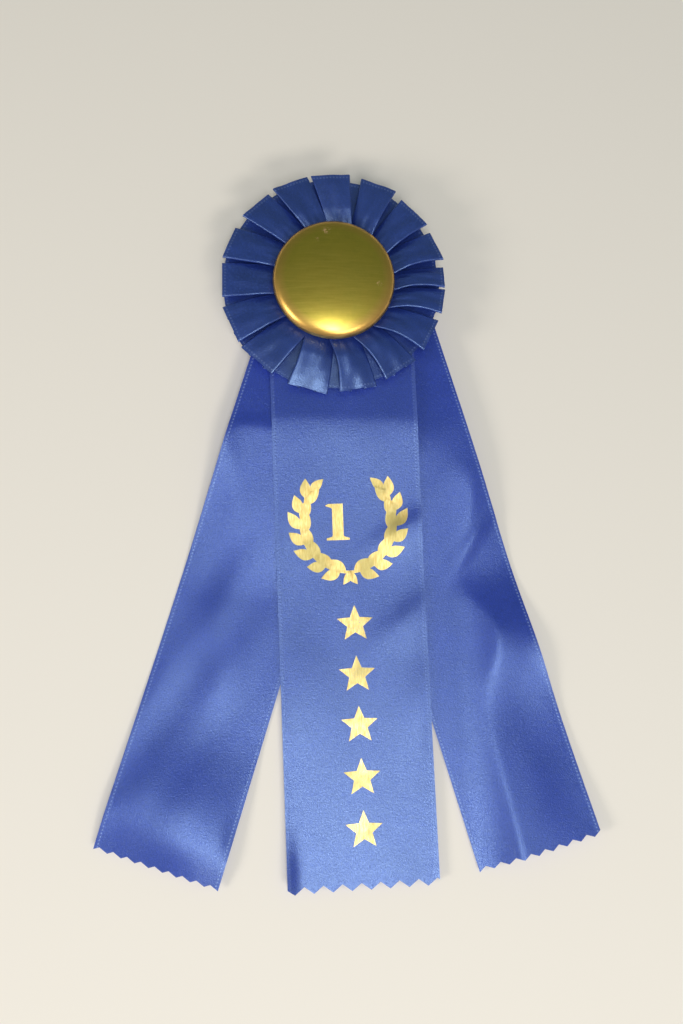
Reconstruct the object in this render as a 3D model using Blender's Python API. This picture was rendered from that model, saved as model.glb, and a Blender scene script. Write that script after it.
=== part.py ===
"""Award ribbon: a pleated rosette with a domed button and three hanging tails, laid face up.

The rosette's axis is vertical, its face looks along +Z and its tails run towards -Y.
Lengths are written in millimetres and turned into metres when a mesh is made.
"""

import math

import bpy
import numpy as np

# ---------------------------------------------------------------- driving dimensions, in mm

MM = 0.001

# Where the rosette's axis stands, so that the whole ribbon is centred on the origin.
ROSETTE_X = -5.58
ROSETTE_Y = 83.08

# Layers of the stack, from the table up: each value is the underside of its layer.
TABLE = 0.0
PIN_PLATE_Z = 3.5
PIN_PLATE_THICK = 0.7
LABEL_Z = 3.8
LABEL_THICK = 0.4
BACK_CARD_Z = 4.5
CARD_THICK = 0.8
RIGHT_TAIL_Z = 5.6
LEFT_TAIL_Z = 6.8
CENTRE_TAIL_Z = 8.1
FRONT_CARD_Z = 8.8
RIBBON_THICK = 0.4

BACK_CARD_R = 31.0
FRONT_CARD_R = 30.0
LABEL_R = 27.5
LABEL_TOP_Y = -12.0

# Tails: width, tilt from straight down, and the place of the middle of the cut end.
CENTRE_WIDTH = 50.8
CENTRE_TILT = 2.45
CENTRE_END = (10.9, -204.0)
CENTRE_TEETH = 8.0
LEFT_WIDTH = 43.4
LEFT_TILT = -16.6
LEFT_END = (-57.4, -197.0)
LEFT_TEETH = 8.5
RIGHT_WIDTH = 43.0
RIGHT_TILT = 17.3
RIGHT_END = (69.6, -192.0)
RIGHT_TEETH = 8.5
TOOTH_DEPTH = 2.6
SIDE_TAIL_TOP_Y = 3.0
CENTRE_TAIL_TOP_Y = -21.0

# The side tails turn on rivets, and the centre tail bends at the rosette's lower edge.
LEFT_PIVOT = (-16.5, -8.0)
RIGHT_PIVOT = (25.5, -8.0)
BEND_Y = -42.0
BEND_GAP = 0.6
RIVET_SHANK_R = 1.0
RIVET_HEAD_R = 2.0
RIVET_HEAD_THICK = 0.4
PIVOT_HOLE_R = 1.1
FIXED_HOLE_R = 1.3

# Slope of the tails: flat under the rosette, then down to the table.
SIDE_SLOPE = (48.0, 120.0)
CENTRE_SLOPE = (58.0, 132.0)
CENTRE_LOW_Z = 1.2

# Ruffle: sixteen box pleats.
PLEATS = 16
RUFFLE_R = 39.3
RUFFLE_HOLE_R = 11.5
RUFFLE_CHORD = 1.3
UNDER_LAYER_IN = 2.0
RUFFLE_FLOOR_Z = 10.6
RUFFLE_RIM_FLOOR_Z = 9.0
PANEL_SHARE = 0.74

# Button and what holds it.
BUTTON_PROFILE = (
    (0.0, 21.2), (5.0, 21.08), (10.0, 20.72), (14.0, 20.2), (17.2, 19.55), (19.2, 18.9),
    (20.4, 18.05), (21.0, 17.1), (21.2, 16.1), (21.0, 15.2), (20.4, 14.75), (19.8, 14.6),
    (19.6, 14.75), (19.75, 15.1), (20.3, 15.6), (20.55, 16.3), (20.4, 17.0), (19.85, 17.7),
    (18.9, 18.35), (17.0, 18.98), (13.9, 19.6), (10.0, 20.12), (5.0, 20.48), (0.0, 20.6),
)
BUTTON_BACK_R = 19.2
BUTTON_BACK_Z = 14.7
BUTTON_BACK_THICK = 0.5
PLUG_R = 9.0
STITCH_R = 14.0
STITCH_THREAD_R = 0.3

# Staples through the front card and the centre tail.
STAPLE_X = (-9.0, 13.0)
STAPLE_Y = -26.0
STAPLE_SPAN = 8.0
STAPLE_WIRE = 0.3

# Bar pin across the upper back.
PIN_X = (-15.0, 15.0)
PIN_Y = 12.0
PIN_WIDTH = 5.0
PIN_AXIS_X = -12.8
PIN_AXIS_Z = 1.9
EAR_GAP = 2.0
EAR_THICK = 0.7
EAR_LENGTH = 4.0
PIN_RIVET_R = 0.5
EAR_HOLE_R = 0.8
NEEDLE_EYE_R = 1.25
NEEDLE_HOLE_R = 0.58
NEEDLE_R = 0.45
NEEDLE_TIP_X = 13.6
CATCH_X = 10.0
CATCH_LENGTH = 3.0

# ---------------------------------------------------------------- materials

SATIN_BLUE = ("satin_ribbon", (0.045, 0.085, 0.36), 0.42, 0.0)
BRASS = ("button_brass", (0.62, 0.44, 0.10), 0.30, 1.0)
STEEL = ("bright_steel", (0.70, 0.70, 0.72), 0.28, 1.0)
CARD = ("white_card", (0.80, 0.79, 0.75), 0.85, 0.0)
PAPER = ("label_paper", (0.86, 0.85, 0.82), 0.75, 0.0)
GLUE = ("clear_glue", (0.72, 0.68, 0.55), 0.40, 0.0)
THREAD = ("blue_thread", (0.04, 0.07, 0.28), 0.70, 0.0)


def material(spec):
    """The Principled material of this name, made the first time it is asked for."""
    name, colour, roughness, metallic = spec
    found = bpy.data.materials.get(name)
    if found:
        return found
    made = bpy.data.materials.new(name)
    made.use_nodes = True
    shader = made.node_tree.nodes["Principled BSDF"]
    shader.inputs["Base Color"].default_value = (*colour, 1.0)
    shader.inputs["Roughness"].default_value = roughness
    shader.inputs["Metallic"].default_value = metallic
    made.diffuse_color = (*colour, 1.0)
    return made


# ---------------------------------------------------------------- mesh helpers


def add_empty(name, x, y, z, parent=None):
    """An empty that marks an axis and carries other objects."""
    empty = bpy.data.objects.new(name, None)
    empty.empty_display_size = 0.01
    empty.location = (x * MM, y * MM, z * MM)
    empty.parent = parent
    bpy.context.scene.collection.objects.link(empty)
    return empty


def add_solid(name, points, faces, spec, parent, at=(0.0, 0.0, 0.0)):
    """A named solid from points in mm, with its origin at the given place under its parent."""
    mesh = bpy.data.meshes.new(name)
    shifted = (np.asarray(points, float) - np.array(at)) * MM
    mesh.from_pydata(shifted.tolist(), [], [list(face) for face in faces])
    mesh.update()
    mesh.materials.append(material(spec))
    solid = bpy.data.objects.new(name, mesh)
    solid.location = tuple(value * MM for value in at)
    solid.parent = parent
    bpy.context.scene.collection.objects.link(solid)
    return solid


def turned(profile, steps=96, centre=(0.0, 0.0)):
    """Points and faces of a closed (radius, height) profile turned round a vertical axis.

    The profile runs from top to bottom on the outside. Points on the axis become one point each.
    """
    points = []
    rings = []
    angles = np.linspace(0.0, 2 * math.pi, steps, endpoint=False)
    for radius, height in profile:
        start = len(points)
        if radius == 0.0:
            points.append((centre[0], centre[1], height))
            rings.append([start] * steps)
            continue
        ring = np.stack([
            centre[0] + radius * np.cos(angles),
            centre[1] + radius * np.sin(angles),
            np.full(steps, height),
        ], axis=1)
        points.extend(ring.tolist())
        rings.append(list(range(start, start + steps)))
    closed_on_axis = profile[0][0] == 0.0 and profile[-1][0] == 0.0
    pairs = list(zip(rings[:-1], rings[1:]))
    if not closed_on_axis:
        pairs.append((rings[-1], rings[0]))
    faces = []
    for upper, lower in pairs:
        for i in range(steps):
            j = (i + 1) % steps
            corner = [upper[i], lower[i], lower[j], upper[j]]
            face = [v for n, v in enumerate(corner) if v not in corner[:n]]
            if len(face) > 2:
                faces.append(face)
    return points, faces


def disc_profile(radius, low, high):
    """The profile of a plain disc."""
    return ((0.0, high), (radius, high), (radius, low), (0.0, low))


def box(low, high):
    """Points and faces of a box between two corners."""
    x0, y0, z0 = low
    x1, y1, z1 = high
    points = [
        (x0, y0, z0), (x1, y0, z0), (x1, y1, z0), (x0, y1, z0),
        (x0, y0, z1), (x1, y0, z1), (x1, y1, z1), (x0, y1, z1),
    ]
    faces = [(0, 3, 2, 1), (4, 5, 6, 7), (0, 1, 5, 4), (1, 2, 6, 5), (2, 3, 7, 6), (3, 0, 4, 7)]
    return points, faces


def slab(top, bottom):
    """A closed solid between two grids of points with the same rows and columns.

    Rows run along the first index and columns along the second. Seen from above, the step from
    row to row turned a quarter clockwise must be the step from column to column.
    """
    rows, cols = top.shape[:2]
    count = rows * cols
    points = np.concatenate([top.reshape(-1, 3), bottom.reshape(-1, 3)])
    index = np.arange(count).reshape(rows, cols)
    a = index[:-1, :-1].ravel()
    b = index[:-1, 1:].ravel()
    c = index[1:, 1:].ravel()
    d = index[1:, :-1].ravel()
    upper = np.stack([a, d, c, b], axis=1)
    lower = np.stack([a, b, c, d], axis=1) + count
    edge = np.concatenate([index[0, :], index[1:, -1], index[-1, -2::-1], index[-2:0:-1, 0]])
    after = np.roll(edge, -1)
    side = np.stack([edge, after, after + count, edge + count], axis=1)
    return points, np.concatenate([upper, lower, side]).tolist()


def cut(solid, cutter, operation="DIFFERENCE"):
    """An exact Boolean on a solid with a hidden helper."""
    step = solid.modifiers.new(operation.lower(), "BOOLEAN")
    step.operation = operation
    step.solver = "EXACT"
    step.object = cutter
    cutter.hide_render = True
    cutter.display_type = "WIRE"


def drill(solid, name, x, y, radius, parent):
    """A vertical hole through a thin layer."""
    points, faces = turned(disc_profile(radius, 0.0, 16.0), 48, (x, y))
    cut(solid, add_solid(name, points, faces, CARD, parent))


# ---------------------------------------------------------------- shapes of the cloth


def ease(value):
    """0 to 1 with level ends."""
    t = np.clip(value, 0.0, 1.0)
    return t * t * (3.0 - 2.0 * t)


def side_height(x, y, pivot, high):
    """Height of a side tail's underside, which depends only on the distance from its pivot.

    So the tail sweeps through no other layer as it fans out.
    """
    reach = np.hypot(x - pivot[0], y - pivot[1])
    share = ease((reach - SIDE_SLOPE[0]) / (SIDE_SLOPE[1] - SIDE_SLOPE[0]))
    return high + (TABLE - high) * share


def centre_height(x, y):
    """Height of the centre tail's underside: above both side tails all the way down."""
    share = ease((-y - CENTRE_SLOPE[0]) / (CENTRE_SLOPE[1] - CENTRE_SLOPE[0]))
    return CENTRE_TAIL_Z + (CENTRE_LOW_Z - CENTRE_TAIL_Z) * share


def tail(width, tilt, end, teeth, top_y, height, rows=46):
    """A ribbon strip with a pinked end, between a level top line and its cut end."""
    turn = math.radians(tilt)
    across = np.array([math.cos(turn), math.sin(turn)])
    along = np.array([math.sin(turn), -math.cos(turn)])
    cols = int(round(teeth * 2)) + 1
    side = np.linspace(-width / 2, width / 2, cols)
    notch = np.where(np.arange(cols) % 2 == 0, 0.0, TOOTH_DEPTH)
    tip = np.array(end)[None, :] + side[:, None] * across - notch[:, None] * along
    reach = (tip[:, 1] - top_y) / along[1]
    start = tip - reach[:, None] * along
    share = np.linspace(0.0, 1.0, rows)[:, None, None]
    flat = start[None] + (tip - start)[None] * share
    under = height(flat[..., 0], flat[..., 1])
    bottom = np.concatenate([flat, under[..., None]], axis=2)
    top = bottom + np.array([0.0, 0.0, RIBBON_THICK])
    return slab(top, bottom)


def pleat_wave(angle):
    """1 on a pleat's panel and 0 in the gap between two panels, with steep sides."""
    phase = (angle * PLEATS / (2 * math.pi)) % 1.0
    distance = np.abs(phase - 0.5)
    return ease((PANEL_SHARE / 2 + 0.035 - distance) / 0.07)


def ruffle():
    """The ruffle as one ring, with raised panels, lower gaps and straight panel edges."""
    per_pleat = 12
    count = PLEATS * per_pleat
    angle = np.linspace(0.0, 2 * math.pi, count, endpoint=False)
    phase = (angle * PLEATS / (2 * math.pi)) % 1.0
    panel = pleat_wave(angle)
    chord = RUFFLE_CHORD * ((phase - 0.5) / 0.5) ** 2
    outer = RUFFLE_R - chord * 0.55 - UNDER_LAYER_IN * (1.0 - panel)
    share = np.array([0.0, 0.08, 0.17, 0.26, 0.36, 0.50, 0.66, 0.82, 0.93, 1.0])
    radius = RUFFLE_HOLE_R + (outer[:, None] - RUFFLE_HOLE_R) * share
    raised = np.interp(share, [0.0, 0.17, 0.30, 0.45, 1.0], [13.0, 13.0, 14.0, 13.9, 11.6])
    lower = np.interp(share, [0.0, 0.17, 0.30, 0.45, 1.0], [13.0, 13.0, 12.2, 12.0, 10.3])
    floor = np.interp(share, [0.0, 0.68, 1.0], [RUFFLE_FLOOR_Z, RUFFLE_FLOOR_Z, RUFFLE_RIM_FLOOR_Z])
    high = lower + (raised - lower) * panel[:, None]
    x = radius * np.cos(angle)[:, None]
    y = radius * np.sin(angle)[:, None]
    top = np.stack([x, y, high], axis=2)
    bottom = np.stack([x, y, np.broadcast_to(floor, high.shape)], axis=2)
    return ring_solid(top, bottom)


def ring_solid(top, bottom):
    """A closed ring between two grids whose rows run round the ring and columns outwards."""
    rows, cols = top.shape[:2]
    count = rows * cols
    points = np.concatenate([top.reshape(-1, 3), bottom.reshape(-1, 3)])
    index = np.arange(count).reshape(rows, cols)
    onward = np.roll(index, -1, axis=0)
    a = index[:, :-1].ravel()
    b = index[:, 1:].ravel()
    c = onward[:, 1:].ravel()
    d = onward[:, :-1].ravel()
    upper = np.stack([a, b, c, d], axis=1)
    lower = np.stack([a, d, c, b], axis=1) + count
    rim = np.stack([index[:, -1], index[:, -1] + count, onward[:, -1] + count, onward[:, -1]], axis=1)
    bore = np.stack([index[:, 0], onward[:, 0], onward[:, 0] + count, index[:, 0] + count], axis=1)
    return points, np.concatenate([upper, lower, rim, bore]).tolist()


# ---------------------------------------------------------------- build

for old in list(bpy.data.objects):
    bpy.data.objects.remove(old, do_unlink=True)

axis = add_empty("rosette_axis", ROSETTE_X, ROSETTE_Y, 0.0)


def on_axis(name, profile, spec, steps=96):
    """A solid turned round the rosette's axis."""
    points, faces = turned(profile, steps)
    return add_solid(name, points, faces, spec, axis)


# Button, its back plate, the plug of glue under it and the gathering thread.
on_axis("button_shell", BUTTON_PROFILE, BRASS, 72)
on_axis("button_back", disc_profile(BUTTON_BACK_R, BUTTON_BACK_Z, BUTTON_BACK_Z + BUTTON_BACK_THICK), STEEL)
plug_low = FRONT_CARD_Z + CARD_THICK + 0.3
on_axis("centre_plug", disc_profile(PLUG_R, plug_low, BUTTON_BACK_Z - 0.3), GLUE, 48)
thread_z = 13.0 + 0.3 + STITCH_THREAD_R
thread_turn = np.linspace(0.0, -2 * math.pi, 10, endpoint=False)
thread_profile = [
    (STITCH_R + STITCH_THREAD_R * math.cos(t), thread_z + STITCH_THREAD_R * math.sin(t)) for t in thread_turn
]
on_axis("stitch_ring", thread_profile, THREAD, 72)

# Ruffle.
points, faces = ruffle()
add_solid("pleated_ruffle", points, faces, SATIN_BLUE, axis)

# Cards in front of the tails and behind them.
front_card = on_axis("front_card", disc_profile(FRONT_CARD_R, FRONT_CARD_Z, FRONT_CARD_Z + CARD_THICK), CARD)
back_card = on_axis("back_card", disc_profile(BACK_CARD_R, BACK_CARD_Z, BACK_CARD_Z + CARD_THICK), CARD)

# Label card: the lower part of a disc, cut off level.
half_angle = math.asin(LABEL_TOP_Y / LABEL_R)
label_turn = np.linspace(-math.pi - half_angle, half_angle, 41)
label_line = np.stack([LABEL_R * np.cos(label_turn), LABEL_R * np.sin(label_turn)], axis=1)
label_count = len(label_line)
label_points = [(x, y, LABEL_Z) for x, y in label_line]
label_points += [(x, y, LABEL_Z + LABEL_THICK) for x, y in label_line]
label_faces = [list(range(label_count))[::-1], list(range(label_count, 2 * label_count))]
for i in range(label_count):
    j = (i + 1) % label_count
    label_faces.append([i, j, j + label_count, i + label_count])
add_solid("label_card", label_points, label_faces, PAPER, axis)

# Side tails, each with its origin on its rivet.
points, faces = tail(
    LEFT_WIDTH, LEFT_TILT, LEFT_END, LEFT_TEETH, SIDE_TAIL_TOP_Y,
    lambda x, y: side_height(x, y, LEFT_PIVOT, LEFT_TAIL_Z),
)
left_tail = add_solid("left_tail", points, faces, SATIN_BLUE, axis, (*LEFT_PIVOT, LEFT_TAIL_Z))
points, faces = tail(
    RIGHT_WIDTH, RIGHT_TILT, RIGHT_END, RIGHT_TEETH, SIDE_TAIL_TOP_Y,
    lambda x, y: side_height(x, y, RIGHT_PIVOT, RIGHT_TAIL_Z),
)
right_tail = add_solid("right_tail", points, faces, SATIN_BLUE, axis, (*RIGHT_PIVOT, RIGHT_TAIL_Z))

# Centre tail: the free length starts at the bend, with its origin on the bend's axis.
points, faces = tail(
    CENTRE_WIDTH, CENTRE_TILT, CENTRE_END, CENTRE_TEETH, BEND_Y - BEND_GAP / 2, centre_height,
)
bend_x = CENTRE_END[0] + (BEND_Y - CENTRE_END[1]) * -math.tan(math.radians(CENTRE_TILT))
bend_at = (bend_x, BEND_Y, CENTRE_TAIL_Z + RIBBON_THICK / 2)
add_solid("centre_tail", points, faces, SATIN_BLUE, axis, bend_at)

# Its stapled top lies against the front card.
lean = math.tan(math.radians(CENTRE_TILT))
half = CENTRE_WIDTH / 2 / math.cos(math.radians(CENTRE_TILT))
top_end = BEND_Y + BEND_GAP / 2
corners = []
for y in (top_end, CENTRE_TAIL_TOP_Y):
    middle = bend_x + (BEND_Y - y) * lean
    corners.append(((middle - half, y), (middle + half, y)))
(low_left, low_right), (high_left, high_right) = corners
outline = (low_left, low_right, high_right, high_left)
top_points = [(x, y, CENTRE_TAIL_Z) for x, y in outline]
top_points += [(x, y, CENTRE_TAIL_Z + RIBBON_THICK) for x, y in outline]
top_faces = [(0, 3, 2, 1), (4, 5, 6, 7), (0, 1, 5, 4), (1, 2, 6, 5), (2, 3, 7, 6), (3, 0, 4, 7)]
centre_top = add_solid("centre_tail_top", top_points, top_faces, SATIN_BLUE, axis)

# Rivets: one through each side tail, holding the two cards together.
rear_head = BACK_CARD_Z - 0.3
front_head = FRONT_CARD_Z + CARD_THICK + 0.3
for side, pivot, solid in (("left", LEFT_PIVOT, left_tail), ("right", RIGHT_PIVOT, right_tail)):
    profile = (
        (0.0, front_head + RIVET_HEAD_THICK),
        (RIVET_HEAD_R - 0.2, front_head + RIVET_HEAD_THICK),
        (RIVET_HEAD_R, front_head + RIVET_HEAD_THICK - 0.15),
        (RIVET_HEAD_R, front_head),
        (RIVET_SHANK_R, front_head),
        (RIVET_SHANK_R, rear_head),
        (RIVET_HEAD_R, rear_head),
        (RIVET_HEAD_R, rear_head - RIVET_HEAD_THICK + 0.15),
        (RIVET_HEAD_R - 0.2, rear_head - RIVET_HEAD_THICK),
        (0.0, rear_head - RIVET_HEAD_THICK),
    )
    points, faces = turned(profile, 48, pivot)
    add_solid("tail_rivet_" + side, points, faces, BRASS, axis, (*pivot, BACK_CARD_Z))
    drill(solid, "pivot_hole_" + side, *pivot, PIVOT_HOLE_R, axis)
    drill(front_card, "front_hole_" + side, *pivot, FIXED_HOLE_R, axis)
    drill(back_card, "back_hole_" + side, *pivot, FIXED_HOLE_R, axis)


def staple(name, middle, y):
    """A flat wire staple: crown above the front card, legs through card and ribbon, tips bent in."""
    wire = STAPLE_WIRE
    crown = FRONT_CARD_Z + CARD_THICK + 0.3
    clinch = CENTRE_TAIL_Z - 0.3
    x0 = middle - STAPLE_SPAN / 2
    x1 = middle + STAPLE_SPAN / 2
    tip = STAPLE_SPAN * 0.3
    outline = [
        (x0, crown + wire), (x0, clinch - wire), (x0 + tip, clinch - wire), (x0 + tip, clinch),
        (x0 + wire, clinch), (x0 + wire, crown), (x1 - wire, crown), (x1 - wire, clinch),
        (x1 - tip, clinch), (x1 - tip, clinch - wire), (x1, clinch - wire), (x1, crown + wire),
    ]
    n = len(outline)
    front = [(x, y - wire / 2, z) for x, z in outline]
    back = [(x, y + wire / 2, z) for x, z in outline]
    faces = [list(range(n)), list(range(n, 2 * n))[::-1]]
    faces += [[i + n, (i + 1) % n + n, (i + 1) % n, i] for i in range(n)]
    add_solid(name, front + back, faces, STEEL, axis)
    for n_leg, x in enumerate((x0 + wire / 2, x1 - wire / 2)):
        for layer, label in ((front_card, "card"), (centre_top, "ribbon")):
            drill(layer, f"{name}_{label}_hole_{n_leg}", x, y, 0.6, axis)


staple("staple_left", STAPLE_X[0], STAPLE_Y)
staple("staple_right", STAPLE_X[1], STAPLE_Y)

# Bar pin: a plate with two ears for the needle and a forked catch for its tip.
plate_top = PIN_PLATE_Z + PIN_PLATE_THICK
half_plate = PIN_WIDTH / 2
points, faces = box((PIN_X[0], PIN_Y - half_plate, PIN_PLATE_Z), (PIN_X[1], PIN_Y + half_plate, plate_top))
pin_bar = add_solid("pin_bar", points, faces, STEEL, axis)
arms = (
    ("ear", PIN_AXIS_X - EAR_LENGTH / 2, EAR_LENGTH, EAR_GAP / 2, EAR_THICK),
    ("catch", CATCH_X, CATCH_LENGTH, NEEDLE_R + 0.3, 0.6),
)
for label, start, length, inner, thick in arms:
    for sign in (-1, 1):
        near = PIN_Y + sign * inner
        far = PIN_Y + sign * (inner + thick)
        points, faces = box(
            (start, min(near, far), TABLE),
            (start + length, max(near, far), PIN_PLATE_Z + 0.2),
        )
        arm = add_solid(f"{label}_{'left' if sign < 0 else 'right'}", points, faces, STEEL, axis)
        cut(pin_bar, arm, "UNION")


def sideways(profile, y_offset, at, steps=40):
    """A (radius, length) profile turned round an axis that runs along Y through a place."""
    points, faces = turned(profile, steps)
    points = np.array(points)
    laid = np.stack([points[:, 0] + at[0], points[:, 2] + y_offset, at[1] - points[:, 1]], axis=1)
    return laid, faces


ear_out = EAR_GAP / 2 + EAR_THICK
pin_axis = (PIN_AXIS_X, PIN_AXIS_Z)
points, faces = sideways(disc_profile(EAR_HOLE_R, -ear_out - 1, ear_out + 1), PIN_Y, pin_axis)
cut(pin_bar, add_solid("ear_hole", points, faces, STEEL, axis))
rivet_profile = (
    (0.0, ear_out + 0.55), (1.1, ear_out + 0.55), (1.25, ear_out + 0.4), (1.25, ear_out + 0.3),
    (PIN_RIVET_R, ear_out + 0.3), (PIN_RIVET_R, -ear_out - 0.3),
    (1.25, -ear_out - 0.3), (1.25, -ear_out - 0.4), (1.1, -ear_out - 0.55), (0.0, -ear_out - 0.55),
)
points, faces = sideways(rivet_profile, PIN_Y, pin_axis)
add_solid("pin_rivet", points, faces, BRASS, axis, (PIN_AXIS_X, PIN_Y, PIN_AXIS_Z))

# Needle: an eye on the rivet and a pointed wire, with its origin on the rivet's axis.
eye_half = EAR_GAP / 2 - 0.3
points, faces = sideways(disc_profile(NEEDLE_EYE_R, -eye_half, eye_half), PIN_Y, pin_axis)
pin_needle = add_solid("pin_needle", points, faces, STEEL, axis, (PIN_AXIS_X, PIN_Y, PIN_AXIS_Z))
wire_start = PIN_AXIS_X + 0.9
wire_profile = (
    (0.0, NEEDLE_TIP_X), (0.06, NEEDLE_TIP_X - 0.1), (0.25, NEEDLE_TIP_X - 1.6),
    (0.40, NEEDLE_TIP_X - 3.4), (NEEDLE_R, NEEDLE_TIP_X - 5.0), (NEEDLE_R, wire_start), (0.0, wire_start),
)
points, faces = turned(wire_profile, 24)
points = np.array(points)
wire_points = np.stack([points[:, 2], points[:, 1] + PIN_Y, PIN_AXIS_Z - points[:, 0]], axis=1)
cut(pin_needle, add_solid("needle_wire", wire_points, faces, STEEL, axis), "UNION")
points, faces = sideways(disc_profile(NEEDLE_HOLE_R, -eye_half - 1, eye_half + 1), PIN_Y, pin_axis)
cut(pin_needle, add_solid("needle_hole", points, faces, STEEL, axis))
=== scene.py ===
# %% [markdown]
# # A first-prize rosette
# An award ribbon is three lengths of satin, a pleated ruffle and a domed metal button, held
# between two discs of card with a bar pin behind. It lies face up on a table here. The frame
# that moves is loaded first, and each piece is then laid over it as cloth, foil or metal.

import math

import bmesh
import bpy
import numpy as np
from mathutils import Matrix, Vector


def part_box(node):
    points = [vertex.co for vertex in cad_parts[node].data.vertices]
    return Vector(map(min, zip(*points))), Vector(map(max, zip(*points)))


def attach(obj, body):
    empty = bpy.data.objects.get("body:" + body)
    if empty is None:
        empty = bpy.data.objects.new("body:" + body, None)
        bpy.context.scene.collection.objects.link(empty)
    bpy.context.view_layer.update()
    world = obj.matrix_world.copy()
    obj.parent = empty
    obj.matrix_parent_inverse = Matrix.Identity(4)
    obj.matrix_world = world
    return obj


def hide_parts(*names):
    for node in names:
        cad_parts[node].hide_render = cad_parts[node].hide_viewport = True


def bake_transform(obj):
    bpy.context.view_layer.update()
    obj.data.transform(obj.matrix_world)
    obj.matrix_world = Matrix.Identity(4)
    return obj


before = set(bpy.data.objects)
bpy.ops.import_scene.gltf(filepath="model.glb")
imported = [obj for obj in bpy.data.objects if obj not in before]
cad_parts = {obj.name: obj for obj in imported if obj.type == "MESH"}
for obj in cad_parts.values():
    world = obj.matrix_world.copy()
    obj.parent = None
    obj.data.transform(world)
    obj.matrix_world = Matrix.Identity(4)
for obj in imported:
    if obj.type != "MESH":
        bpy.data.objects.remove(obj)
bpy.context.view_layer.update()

# %% [markdown]
# Every length below is in millimetres, counted from the rosette's axis, because that is how a
# ribbon maker measures: so far out from the middle, so far down the tail. One helper moves the
# finished points to the part's own frame in metres, so no object has to be moved afterwards.

# %% The rosette's axis
MM = 0.001
button_low, button_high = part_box("button_shell")
AXIS = np.array([(button_low.x + button_high.x) / 2, (button_low.y + button_high.y) / 2, 0.0])


def to_part(points):
    """Points in mm about the rosette's axis, moved to the part's frame in metres."""
    return np.asarray(points, float) * MM + AXIS


print("axis at", np.round(AXIS, 4))

# %% [markdown]
# ## The camera
# A ribbon on a table is looked at from almost straight above, leaning a little towards the cut
# ends and to the left. A camera aimed by its three directions (back, right and up) is easier to
# keep steady than one turned by angles, because each direction can be read from the last.

# %% Camera
TARGET = to_part((3.5, -79.0, 0.0))
CAMERA_FROM_TARGET = np.array([-18.9, -53.6, 364.1]) * MM


def aim_camera(target, offset, lens):
    """A camera at target + offset that looks at the target, with +Y upright in the picture."""
    back = offset / np.linalg.norm(offset)
    right = np.cross((0.0, 1.0, 0.0), back)
    right /= np.linalg.norm(right)
    up = np.cross(back, right)
    data = bpy.data.cameras.new("camera")
    data.lens = lens
    data.sensor_width = 36.0
    data.clip_start = 0.01
    data.clip_end = 20.0
    camera = bpy.data.objects.new("camera", data)
    turned = np.eye(4)
    turned[:3, 0], turned[:3, 1], turned[:3, 2], turned[:3, 3] = right, up, back, target + offset
    camera.matrix_world = Matrix(turned.tolist())
    bpy.context.scene.collection.objects.link(camera)
    bpy.context.scene.camera = camera
    return camera


aim_camera(TARGET, CAMERA_FROM_TARGET, 36.9)
print("camera height", round(float(CAMERA_FROM_TARGET[2]), 3), "m")

# %% [markdown]
# ## Light and table
# Satin shows its folds only where a soft light is mirrored in them. One long panel above the
# tails gives their bright patches, one on the left warms the other side of each swell, and one
# near the cut ends puts the bright arc in the button. A dim room fills the rest, pale behind the
# viewer and greener on the far side, where a polished dome mirrors it. One bright light would
# be simpler, but it leaves the cloth flat and the metal black.
#
# The fourth panel stands under the table, for looking at the pin and the card on the back. The
# table is therefore see-through from below, and lets light pass to the ribbon from any side.

# %% Soft lights
def soft_panel(name, place, aim, size, power, colour):
    """A rectangular light at a place, facing the point it is aimed at."""
    data = bpy.data.lights.new(name, "AREA")
    data.shape = "RECTANGLE"
    data.size, data.size_y = size
    data.energy = power
    data.color = colour
    panel = bpy.data.objects.new(name, data)
    panel.location = place
    away = Vector(place) - Vector(aim)
    panel.rotation_euler = away.to_track_quat("Z", "Y").to_euler()
    bpy.context.scene.collection.objects.link(panel)
    return panel


MIDDLE = (0.0, 0.0, 0.0)
NEUTRAL, WARM, WARMER = (1.0, 0.97, 0.94), (1.0, 0.90, 0.76), (1.0, 0.88, 0.74)
soft_panel("over_panel", (0.02, -0.34, 1.00), (0.0, -0.06, 0.0), (0.18, 0.52), 4.2, NEUTRAL)
soft_panel("side_panel", (-0.90, -0.35, 0.55), MIDDLE, (0.30, 0.30), 4.0, WARMER)
soft_panel("near_panel", (0.30, -0.72, 0.72), MIDDLE, (0.44, 0.18), 3.6, WARM)
soft_panel("under_panel", (0.15, -0.25, -0.90), MIDDLE, (0.60, 0.60), 2.2, NEUTRAL)
bpy.context.scene.view_settings.view_transform = "Standard"

# %% Node helpers


def new_material(name):
    """An empty material tree with its output and one Principled shader."""
    made = bpy.data.materials.new(name)
    made.use_nodes = True
    tree = made.node_tree
    return made, tree, tree.nodes["Principled BSDF"]


def add_node(tree, kind, **values):
    """A node of this kind, with its properties and input sockets set by name."""
    node = tree.nodes.new(kind)
    for key, value in values.items():
        if key in node.bl_rna.properties:
            setattr(node, key, value)
        else:
            node.inputs[key.replace("_", " ")].default_value = value
    return node


def join(tree, source, target):
    """A link between two sockets."""
    tree.links.new(source, target)


def maths(tree, operation, first, second=None):
    """A Math node fed by sockets or plain numbers; gives back its output socket."""
    node = tree.nodes.new("ShaderNodeMath")
    node.operation = operation
    for socket, value in zip(node.inputs, (first, second)):
        if value is None:
            continue
        if isinstance(value, (int, float)):
            socket.default_value = value
        else:
            join(tree, value, socket)
    return node.outputs[0]


def mix_colour(tree, share, first, second):
    """A colour mix; share, first and second are sockets, numbers or colours."""
    node = tree.nodes.new("ShaderNodeMix")
    node.data_type = "RGBA"
    for place, value in ((0, share), (6, first), (7, second)):
        socket = node.inputs[place]
        if isinstance(value, (int, float)):
            socket.default_value = value
        elif isinstance(value, tuple):
            socket.default_value = (*value, 1.0)
        else:
            join(tree, value, socket)
    return node.outputs[2]


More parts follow.
